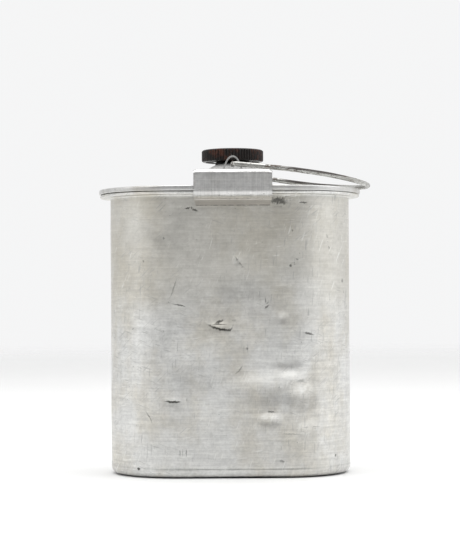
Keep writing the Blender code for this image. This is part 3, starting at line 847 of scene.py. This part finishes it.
def bail_side(sign, bow):
    """Half of the bail's line, from the tip of its hook, out along its side and round to the end's middle."""
    points = []
    for i in range(5):
        y = BAIL_HOOK_END + (BAIL_HALF_WIDTH - BAIL_BEND - BAIL_HOOK_END) * i / 5
        points.append(Vector((0, sign * y, BAIL_PIVOT)))
    for i in range(9):
        a = math.pi / 2 * i / 8
        x = BAIL_BEND * (1 - math.cos(a))
        y = BAIL_HALF_WIDTH - BAIL_BEND * (1 - math.sin(a))
        points.append(Vector((x, sign * y, bail_height(x, bow))))
    turn = BAIL_REACH - BAIL_HALF_WIDTH
    for i in range(1, 36):
        x = BAIL_BEND + (turn - BAIL_BEND) * i / 36
        points.append(Vector((x, sign * BAIL_HALF_WIDTH, bail_height(x, bow))))
    for i in range(41):
        a = math.pi / 2 * i / 40
        x = turn + BAIL_HALF_WIDTH * math.sin(a)
        points.append(Vector((x, sign * BAIL_HALF_WIDTH * math.cos(a), bail_height(x, bow))))
    return points


def make_bail():
    """The wire, a tube swept along its line, flattened here and there by use, with rounded ends."""
    line = bail_side(-1, BAIL_FRONT_BOW) + bail_side(1, BAIL_BACK_BOW)[-2::-1]
    bm = bmesh.new()
    rings = []
    up = Vector((0, 0, 1))
    for i, p in enumerate(line):
        tangent = tangent_at(line, i)
        up = (up - tangent * up.dot(tangent)).normalized()
        side = tangent.cross(up)
        ring = []
        for j in range(WIRE_SIDES):
            a = 2 * math.pi * j / WIRE_SIDES
            out = up * math.cos(a) + side * math.sin(a)
            worn = 1 + 0.035 * (noise.noise(p * 160 + out * 0.9) - 0.5) - 0.01
            q = p + out * WIRE_RADIUS * worn
            ring.append(bm.verts.new((NECK_X + q.x, q.y, q.z)))
        rings.append(ring)
    wire = capped("bail_wire", bm, rings, BAIL_DEGREES)
    return soften_edges(wire, 0.35 * MM, 3, BAIL_DEGREES)


# ---------------------------------------------------------------- materials


def fill(tree, made, sockets):
    """Sets or links a node's inputs, by name or number."""
    for key, value in sockets.items():
        if isinstance(value, bpy.types.NodeSocket):
            tree.links.new(value, made.inputs[key])
        else:
            made.inputs[key].default_value = value
    return made


def node(tree, kind, sockets=None, **settings):
    """A new node, with its settings and its inputs."""
    made = tree.nodes.new(kind)
    for key, value in settings.items():
        setattr(made, key, value)
    return fill(tree, made, sockets or {})


def maths(tree, operation, a, b):
    return node(tree, "ShaderNodeMath", {0: a, 1: b}, operation=operation).outputs[0]


def times(tree, a, b):
    return maths(tree, "MULTIPLY", a, b)


def vectors(tree, operation, a, b=(0, 0, 0)):
    made = node(tree, "ShaderNodeVectorMath", {0: a, 1: b}, operation=operation)
    return made.outputs["Value" if operation in ("LENGTH", "DOT_PRODUCT") else "Vector"]


def blended(tree, share, a, b):
    made = node(tree, "ShaderNodeMix", {0: share, 6: a, 7: b}, data_type="RGBA")
    return made.outputs[2]


def span(tree, value, low, high, to_low=0, to_high=1):
    """The value carried smoothly from one range to another, and held at its ends."""
    sockets = {"Value": value, "From Min": low, "From Max": high, "To Min": to_low, "To Max": to_high}
    return node(tree, "ShaderNodeMapRange", sockets, interpolation_type="SMOOTHSTEP").outputs["Result"]


def grain(tree, coords, scale, detail=3, roughness=0.55, offset=(0, 0, 0)):
    """Noise from 0 to 1, stretched by its own scale along each axis."""
    moved = vectors(tree, "ADD", coords, offset)
    placed = vectors(tree, "MULTIPLY", moved, scale)
    sockets = {"Vector": placed, "Scale": 1, "Detail": detail, "Roughness": roughness}
    return node(tree, "ShaderNodeTexNoise", sockets).outputs["Fac"]


def new_material(name):
    made = bpy.data.materials.new(name)
    made.use_nodes = True
    tree = made.node_tree
    shader = tree.nodes["Principled BSDF"]
    coords = node(tree, "ShaderNodeTexCoord").outputs["Object"]
    return made, tree, shader, coords


def bump(tree, height, distance):
    sockets = {"Height": height, "Distance": distance, "Strength": 1}
    return node(tree, "ShaderNodeBump", sockets).outputs["Normal"]


def height_of(tree, coords):
    return vectors(tree, "DOT_PRODUCT", coords, (0, 0, 1))


def radius_of(tree, coords):
    """The distance from the neck's axis."""
    away = vectors(tree, "SUBTRACT", coords, (NECK_X, 0, 0))
    return vectors(tree, "LENGTH", vectors(tree, "MULTIPLY", away, (1, 1, 0)))


def mark_mask(tree, coords):
    """How dark the rubbed marks are at a place, from what rub_marks() has stored."""
    rub = node(tree, "ShaderNodeAttribute", attribute_name="rub").outputs["Vector"]
    sockets = {"Vector": coords, "Scale": 900, "Detail": 3}
    rough = node(tree, "ShaderNodeTexNoise", sockets).outputs["Color"]
    shaken = vectors(tree, "MULTIPLY", vectors(tree, "SUBTRACT", rough, (0.5, 0.5, 0.5)), (0.5, 2.4, 0))
    placed = vectors(tree, "ADD", rub, shaken)
    reach = vectors(tree, "LENGTH", vectors(tree, "MULTIPLY", placed, (1, 1, 0)))
    dark = height_of(tree, rub)
    return times(tree, span(tree, reach, 0.45, 1.15, 1, 0), dark)


def turned_coords(tree, coords, turn):
    """The coordinates turned about the long side's own axis, so that a stretched grain runs at a slant."""
    sockets = {"Vector": coords, "Axis": (0, 1, 0), "Angle": turn}
    return node(tree, "ShaderNodeVectorRotate", sockets).outputs["Vector"]


# Colours of the pot's and the yoke's own looks, with a painted highlight and a painted shade among them
DULL_BROWN = (0.49, 0.46, 0.385, 1)
# a darker, browner tone for the yoke's lip
DARKER_TAN_LIP = (0.49, 0.455, 0.395, 1)
# painted highlight: pale metal on the dents' slopes, standing also for polishing by handling
PAINTED_HIGHLIGHT_COLOUR = (0.9, 0.895, 0.87, 1)
RUBBED = (0.055, 0.056, 0.05, 1)
# painted shade: the contact shadow along the pot's foot
PAINTED_CONTACT_SHADE = (0.012, 0.012, 0.011, 1)
CHIPPED = (0.2, 0.195, 0.185, 1)

# Fine scratches on the pot: how far they lean, in radians, the grain that makes them, and how light they are
SCRATCHES = (
    (0.1, (90, 90, 1100), 0.84),
    (-0.35, (100, 90, 1300), 0.38),
    (0.75, (100, 90, 1300), 0.4),
    (1.5, (90, 90, 1200), 0.38),
    (1.25, (90, 90, 1100), 0.84),
)


def tinted(tree, colour, shade):
    """A colour darkened or lightened by a number."""
    grey = node(tree, "ShaderNodeCombineColor", {0: shade, 1: shade, 2: shade}).outputs[0]
    sockets = {0: 1, 6: colour, 7: grey}
    return node(tree, "ShaderNodeMix", sockets, data_type="RGBA", blend_type="MULTIPLY").outputs[2]


def worn_metal(name, clean, stained, roughness, fine=0.03, cloudy=0.04, lines=(38, 38, 1000), extra=None):
    """Sheet aluminium, scoured and handled: working lines, cloudy stains, fine scratches and pits.

    extra(tree, coords, colour, height) returns colour and height with a piece's own looks added.
    """
    made, tree, shader, coords = new_material(name)
    cloud = grain(tree, coords, (30, 30, 22), 5, 0.62)
    cloud_two = grain(tree, coords, (85, 85, 60), 5, 0.65, (0.3, 0.1, 0.7))
    streak = grain(tree, coords, (170, 170, 10), 3, 0.6, (0.1, 0.5, 0.2))
    working = grain(tree, coords, lines, 3, 0.7)
    scour = grain(tree, coords, tuple(0.5 * k + 26 for k in lines), 4, 0.65, (0.4, 0.2, 0.9))
    speck = grain(tree, coords, (620, 620, 620), 3, 0.6, (0.2, 0.8, 0.4))
    mottle = grain(tree, coords, (210, 210, 260), 4, 0.7, (0.5, 0.3, 0.8))
    pit = grain(tree, coords, (480, 480, 480), 2, 0.5, (0.6, 0.1, 0.3))

    colour = blended(tree, span(tree, cloud, 0.42, 0.7), (*clean, 1), (*stained, 1))
    dots = span(tree, pit, 0.74, 0.78, 1, 0.5)
    shade = span(tree, cloud_two, 0.3, 0.7, 1 - cloudy, 1 + cloudy)
    shade = times(tree, shade, span(tree, streak, 0.3, 0.7, 0.975, 1.025))
    for each in (scour, working, speck, mottle):
        shade = times(tree, shade, span(tree, each, 0.3, 0.7, 1 - fine, 1 + fine))
    colour = tinted(tree, colour, times(tree, shade, dots))
    height = maths(tree, "ADD", times(tree, working, 0.5), times(tree, scour, 0.4))
    height = maths(tree, "ADD", height, times(tree, dots, 0.8))
    gloss = span(tree, cloud_two, 0.25, 0.75, roughness - 0.05, roughness + 0.06)
    gloss = maths(tree, "ADD", gloss, span(tree, speck, 0.3, 0.7, -0.03, 0.03))
    if extra:
        colour, height = extra(tree, coords, colour, height)
    normal = bump(tree, height, 0.00006)
    fill(tree, shader, {"Base Color": colour, "Roughness": gloss, "Metallic": 1, "Normal": normal})
    return made


def pot_extra(tree, coords, colour, height):
    """The pot's own looks: a dull upper part, scratches, painted shade in the groove above the foot and along
    the foot, painted highlights on the dents' slopes that stand also for polishing by handling, and rubbed
    marks.
    """
    up = height_of(tree, coords)
    patches = grain(tree, coords, (34, 34, 26), 4, 0.6, (0.8, 0.3, 0.5))
    uneven = maths(tree, "ADD", up, times(tree, patches, 0.05))
    below_rim = span(tree, up, 0.17, 0.1725, 1, 0)
    dull = times(tree, span(tree, uneven, 0.105, 0.16), below_rim)
    colour = blended(tree, times(tree, dull, 0.42), colour, DULL_BROWN)
    for turn, scale, light in SCRATCHES:
        line = grain(tree, turned_coords(tree, coords, turn), scale, 2, 0.5, (0.3 * turn, 0.7, 0.2))
        cover = grain(tree, coords, (26, 26, 26), 3, 0.6, (0.9 * turn, 0.4, 0.6))
        covered = span(tree, cover, 0.44, 0.62, 0.05, 0.6)
        seen = times(tree, span(tree, line, 0.63, 0.7), covered)
        colour = blended(tree, seen, colour, (light, light, 0.97 * light, 1))
    # Painted shade in the small groove above the foot
    crease_shade_top = span(tree, up, 0.006, 0.007, 1, 0)
    crease_shade = times(tree, span(tree, up, 0.005, 0.0058), crease_shade_top)
    colour = tinted(tree, colour, span(tree, crease_shade, 0, 1, 1, 0.9))
    # Painted contact shade: the lowest two millimetres of the pot go near black, unevenly
    uneven = maths(tree, "ADD", up, times(tree, patches, 0.0012))
    colour = blended(tree, span(tree, uneven, 0.001, 0.002, 0.94, 0), colour, PAINTED_CONTACT_SHADE)
    # Painted highlights on the dents' slopes and the listed front places, broken up by noise; they stand also
    # for polishing by handling
    painted_highlight = node(tree, "ShaderNodeAttribute", attribute_name="painted_highlight").outputs["Fac"]
    rubbed = grain(tree, coords, (190, 190, 260), 4, 0.65, (0.7, 0.2, 0.4))
    painted_highlight = times(tree, painted_highlight, span(tree, rubbed, 0.35, 0.62, 0.25, 1))
    colour = blended(tree, painted_highlight, colour, PAINTED_HIGHLIGHT_COLOUR)
    mark = mark_mask(tree, coords)
    colour = blended(tree, mark, colour, RUBBED)
    return colour, maths(tree, "SUBTRACT", height, times(tree, mark, 2))


# Painted shade and painted highlight along the yoke's bends: dark lines in the hook's fold and under the
# lip's lower edge, a light line on the lip's bend; their height, how strong they are, and their grey
YOKE_BEND_SHADE_AND_HIGHLIGHT = (
    (YOKE_LIP_TOP + 1.5 * MM, 0.5, 0.1),
    (YOKE_LIP_TOP + 0.35 * MM, 0.8, 0.92),
    (YOKE_LIP_END + 0.2 * MM, 0.75, 0.1),
)


def yoke_extra(tree, coords, colour, height):
    """The yoke's own looks: upright scratches and chips on its face, a darker, browner lip, and painted shade
    and painted highlight lines along its bends.
    """
    up = height_of(tree, coords)
    upright = grain(tree, coords, (900, 60, 45), 3, 0.6, (0.2, 0.4, 0.6))
    colour = tinted(tree, colour, span(tree, upright, 0.3, 0.72, 1.06, 0.9))
    chips = grain(tree, coords, (420, 420, 700), 3, 0.6, (0.9, 0.2, 0.1))
    low = span(tree, up, YOKE_LIP_END + 8.5 * MM, YOKE_LIP_END + 11 * MM, 1, 0.35)
    chipped = times(tree, span(tree, chips, 0.64, 0.72), low)
    colour = blended(tree, times(tree, chipped, 0.75), colour, CHIPPED)
    # The lip below the hook's bend goes darker and browner
    patchy = maths(tree, "ADD", up, times(tree, upright, 1.2 * MM))
    lip = span(tree, patchy, YOKE_LIP_TOP - 0.6 * MM, YOKE_LIP_TOP + 0.6 * MM, 1, 0)
    colour = blended(tree, times(tree, lip, 0.85), colour, DARKER_TAN_LIP)
    # Painted shade lines in the fold and under the lip's edge, and a painted highlight line on the lip's bend
    for level, depth, tone in YOKE_BEND_SHADE_AND_HIGHLIGHT:
        above = span(tree, up, level - 0.35 * MM, level)
        line = times(tree, above, span(tree, up, level, level + 0.35 * MM, 1, 0))
        line = times(tree, line, span(tree, chips, 0.36, 0.52))
        colour = blended(tree, times(tree, line, depth), colour, (tone, tone, tone, 1))
    return colour, maths(tree, "SUBTRACT", height, chipped)


def yoke_metal():
    """The yoke's metal: rolled sheet, gone cloudy and pale on the dome where the neck comes through."""
    made = worn_metal(
        "rolled_aluminium", (0.63, 0.627, 0.618), (0.56, 0.55, 0.53), 0.36, 0.05,
        lines=(14, 300, 900), extra=yoke_extra
    )
    tree = made.node_tree
    radius = radius_of(tree, node(tree, "ShaderNodeTexCoord").outputs["Object"])
    metallic = span(tree, radius, 19 * MM, 27 * MM, 0.15, 1)
    tree.links.new(metallic, tree.nodes["Principled BSDF"].inputs["Metallic"])
    return made


def bakelite_material():
    """Dark brown moulding, mottled with red-brown filler, its rib crests lighter as a painted highlight that
    stands also for wear, and its underside smooth.
    """
    made, tree, shader, coords = new_material("bakelite")
    mottle = grain(tree, coords, (260, 260, 200), 4, 0.65)
    cloud = grain(tree, coords, (80, 80, 80), 3, 0.5, (0.2, 0.3, 0.1))
    speck = grain(tree, coords, (1100, 1100, 1100), 2, 0.5)
    radius = radius_of(tree, coords)
    up = height_of(tree, coords)
    crest = span(tree, radius, HEAD_RADIUS + 0.15 * MM, HEAD_RADIUS + KNURL_DEPTH)
    red = times(tree, span(tree, mottle, 0.5, 0.64), span(tree, cloud, 0.36, 0.58))
    colour = blended(tree, red, (0.0055, 0.0034, 0.0028, 1), (0.062, 0.02, 0.011, 1))
    # Painted highlight on the rib crests, in specks, standing also for wear
    worn = times(tree, crest, span(tree, speck, 0.35, 0.7, 0, 0.35))
    colour = blended(tree, worn, colour, (0.05, 0.034, 0.028, 1))
    beneath = span(tree, up, HEAD_UNDER + 0.05 * MM, HEAD_UNDER + 0.35 * MM, 1, 0)
    rough = span(tree, mottle, 0.3, 0.7, 0.34, 0.5)
    rough = maths(tree, "SUBTRACT", rough, times(tree, beneath, 0.26))
    normal = bump(tree, maths(tree, "ADD", mottle, times(tree, speck, 0.4)), 0.00003)
    fill(tree, shader, {"Base Color": colour, "Roughness": rough, "IOR": 1.36, "Normal": normal})
    return made


def rubber_material():
    made, tree, shader, coords = new_material("black_rubber")
    fine = grain(tree, coords, (900, 900, 900), 3, 0.6)
    dust = grain(tree, coords, (160, 160, 260), 3, 0.6, (0.5, 0.5, 0.1))
    dusty = span(tree, dust, 0.45, 0.75, 0, 0.3)
    colour = blended(tree, dusty, (0.006, 0.006, 0.006, 1), (0.04, 0.038, 0.034, 1))
    rough = span(tree, fine, 0.3, 0.7, 0.55, 0.75)
    normal = bump(tree, fine, 0.00004)
    fill(tree, shader, {"Base Color": colour, "Roughness": rough, "IOR": 1.38, "Normal": normal})
    return made


def wire_material():
    """Plated steel wire, dulled grey, brown where the plating has gone, with a dark crust on one stretch."""
    made, tree, shader, coords = new_material("bail_wire")
    patch = grain(tree, coords, (130, 220, 520), 5, 0.7)
    fine = grain(tree, coords, (650, 650, 900), 4, 0.65, (0.2, 0.1, 0.8))
    cloud = grain(tree, coords, (60, 60, 60), 3, 0.5, (0.7, 0.1, 0.2))
    bare = span(tree, maths(tree, "ADD", patch, times(tree, fine, 0.3)), 0.705, 0.77)
    plate = blended(tree, span(tree, cloud, 0.38, 0.64), (0.54, 0.54, 0.52, 1), (0.34, 0.335, 0.315, 1))
    plate = blended(tree, span(tree, fine, 0.42, 0.72, 0, 0.5), plate, (0.17, 0.16, 0.14, 1))
    rust = blended(tree, span(tree, fine, 0.4, 0.62), (0.026, 0.022, 0.019, 1), (0.1, 0.052, 0.03, 1))
    normal = node(tree, "ShaderNodeTexCoord").outputs["Normal"]
    facing = vectors(tree, "DOT_PRODUCT", normal, (0, -0.6, 0.8))
    along = vectors(tree, "DOT_PRODUCT", coords, (1, 0, 0))
    short_of_tip = span(tree, along, 64 * MM, 80 * MM, 1, 0)
    reach = times(tree, span(tree, along, 30 * MM, 40 * MM), short_of_tip)
    uneven = maths(tree, "ADD", facing, times(tree, patch, 0.7))
    crusted = times(tree, span(tree, uneven, 0.96, 1.14), times(tree, reach, 0.95))
    colour = blended(tree, times(tree, bare, 0.85), plate, rust)
    colour = blended(tree, crusted, colour, (0.034, 0.025, 0.021, 1))
    bare = maths(tree, "MAXIMUM", bare, crusted)
    metal = span(tree, bare, 0, 1, 0.95, 0.25)
    rough = span(tree, bare, 0, 1, 0.3, 0.6)
    rough = maths(tree, "ADD", rough, span(tree, fine, 0.3, 0.7, -0.06, 0.1))
    normal = bump(tree, maths(tree, "SUBTRACT", times(tree, fine, 0.6), times(tree, bare, 0.6)), 0.0001)
    fill(tree, shader, {"Base Color": colour, "Roughness": rough, "Metallic": metal, "Normal": normal})
    return made


# ---------------------------------------------------------------- studio


def floor_material():
    """Pale and matt, fading into the backdrop far from the canteen."""
    made, tree, shader, coords = new_material("pale_floor")
    tone = grain(tree, coords, (3, 3, 3), 2, 0.5)
    colour = blended(tree, tone, (0.87, 0.87, 0.865, 1), (0.89, 0.89, 0.885, 1))
    fading = span(tree, vectors(tree, "LENGTH", coords), 0.8, 3.4, 1, 0)
    sockets = {"Base Color": colour, "Alpha": fading, "Roughness": 0.75, "Specular IOR Level": 0.2}
    fill(tree, shader, sockets)
    return made


def make_floor():
    bm = bmesh.new()
    bmesh.ops.create_circle(bm, cap_ends=True, segments=96, radius=6)
    obj = finished("floor", bm)
    obj.data.materials.append(floor_material())


def make_world():
    """A pale room: even grey-white for the camera; in reflections dimmer in front and to the left."""
    world = bpy.data.worlds.new("studio")
    bpy.context.scene.world = world
    world.use_nodes = True
    tree = world.node_tree
    tree.nodes.clear()
    direction = node(tree, "ShaderNodeTexCoord").outputs["Generated"]
    forward = vectors(tree, "DOT_PRODUCT", direction, (0, -1, 0))
    right = vectors(tree, "DOT_PRODUCT", direction, (1, 0, 0))
    up = height_of(tree, direction)
    front = times(tree, span(tree, forward, 0.1, 0.95), span(tree, up, -0.3, 0.2, 0.55, 1))
    glow = span(tree, right, -0.9, 0.9, 0.87, 1.03)
    glow = times(tree, glow, span(tree, front, 0, 1, 1, 0.38))
    seen = node(tree, "ShaderNodeBackground", {"Color": (0.915, 0.917, 0.92, 1), "Strength": 1})
    room = node(tree, "ShaderNodeBackground", {"Color": (0.995, 0.997, 1, 1), "Strength": glow})
    camera_ray = node(tree, "ShaderNodeLightPath").outputs["Is Camera Ray"]
    mixed = node(tree, "ShaderNodeMixShader", {0: camera_ray, 1: room.outputs[0], 2: seen.outputs[0]})
    node(tree, "ShaderNodeOutputWorld", {"Surface": mixed.outputs[0]})


# Area lights: name, place, width and height, and power, all aimed at the canteen's middle
LIGHTS = (
    ("key_left", (-1.3, -0.5, 1.1), (1.2, 1.4), 5),
    ("key_right", (1.4, -0.3, 1.1), (1.2, 1.4), 6),
    ("overhead", (0, -0.1, 1.5), (1.2, 1.2), 11),
)
LIGHTS_TARGET = Vector((0, 0, 0.1))


def area_light(name, place, size, power):
    light = bpy.data.lights.new(name, "AREA")
    light.shape = "RECTANGLE"
    light.size, light.size_y = size
    light.energy = power
    obj = in_scene(name, light)
    obj.location = place
    obj.rotation_euler = (LIGHTS_TARGET - Vector(place)).to_track_quat("-Z", "Y").to_euler()


SENSOR = 36
CAMERA_DISTANCE = 1.1
CAMERA_HEIGHT = 0.108
CAMERA_TILT = 0.79  # upwards, in degrees
CAMERA_ROLL = -0.33
FRAME_HEIGHT = 0.348  # what the picture's height takes in at the canteen


def make_camera():
    """Level with the canteen's middle, a little over a metre in front, through a long lens."""
    camera = bpy.data.cameras.new("camera")
    camera.sensor_width = SENSOR
    camera.lens = SENSOR * CAMERA_DISTANCE / FRAME_HEIGHT
    camera.clip_start = 0.01
    obj = in_scene("camera", camera)
    pitch = Matrix.Rotation(math.radians(90 + CAMERA_TILT), 4, "X")
    roll = Matrix.Rotation(math.radians(CAMERA_ROLL), 4, "Z")
    obj.matrix_world = Matrix.Translation((0, -CAMERA_DISTANCE, CAMERA_HEIGHT)) @ pitch @ roll
    bpy.context.scene.camera = obj


# ---------------------------------------------------------------- the canteen


def place(obj, material, body, slot, *nodes):
    """Gives a piece its material and its body, and hides the frame's nodes that it stands for; slot is not
    used.
    """
    obj.data.materials.clear()
    obj.data.materials.append(material)
    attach(obj, body)
    if nodes:
        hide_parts(*nodes)


def main():
    bpy.context.scene.view_settings.view_transform = "Standard"
    make_world()
    make_floor()
    for light in LIGHTS:
        area_light(*light)
    make_camera()

    drawn = worn_metal(
        "drawn_aluminium", (0.67, 0.67, 0.655), (0.59, 0.57, 0.52), 0.42, 0.06, extra=pot_extra
    )
    flask = worn_metal("flask_aluminium", (0.6, 0.6, 0.59), (0.5, 0.485, 0.45), 0.36, cloudy=0.08)
    rolled = yoke_metal()
    lathe = worn_metal("turned_aluminium", (0.66, 0.66, 0.65), (0.55, 0.53, 0.48), 0.3)
    bakelite = bakelite_material()
    place(make_pot(), drawn, "vessels", "pot_aluminium", "pot")
    place(make_lid(), flask, "vessels", "flask_aluminium", "flask_top")
    place(make_neck(), lathe, "vessels", "neck_aluminium", "neck")
    place(make_head(), bakelite, "stopper_body", "bakelite", "stopper")
    place(make_plug(), bakelite, "stopper_body", "bakelite")
    place(make_seal(), rubber_material(), "seal_ring", "black_rubber", "seal")
    place(make_yoke(), rolled, "yoke_body", "yoke_aluminium", "yoke")
    place(make_ear("front_loop", -1), rolled, "yoke_body", "yoke_aluminium", "ear_front")
    place(make_ear("back_loop", 1), rolled, "yoke_body", "yoke_aluminium", "ear_back")
    place(make_bail(), wire_material(), "bail_body", "bail_wire", "bail")
    body = frame["nodes"]["flask_body"]
    body.data.materials.clear()
    body.data.materials.append(flask)


main()
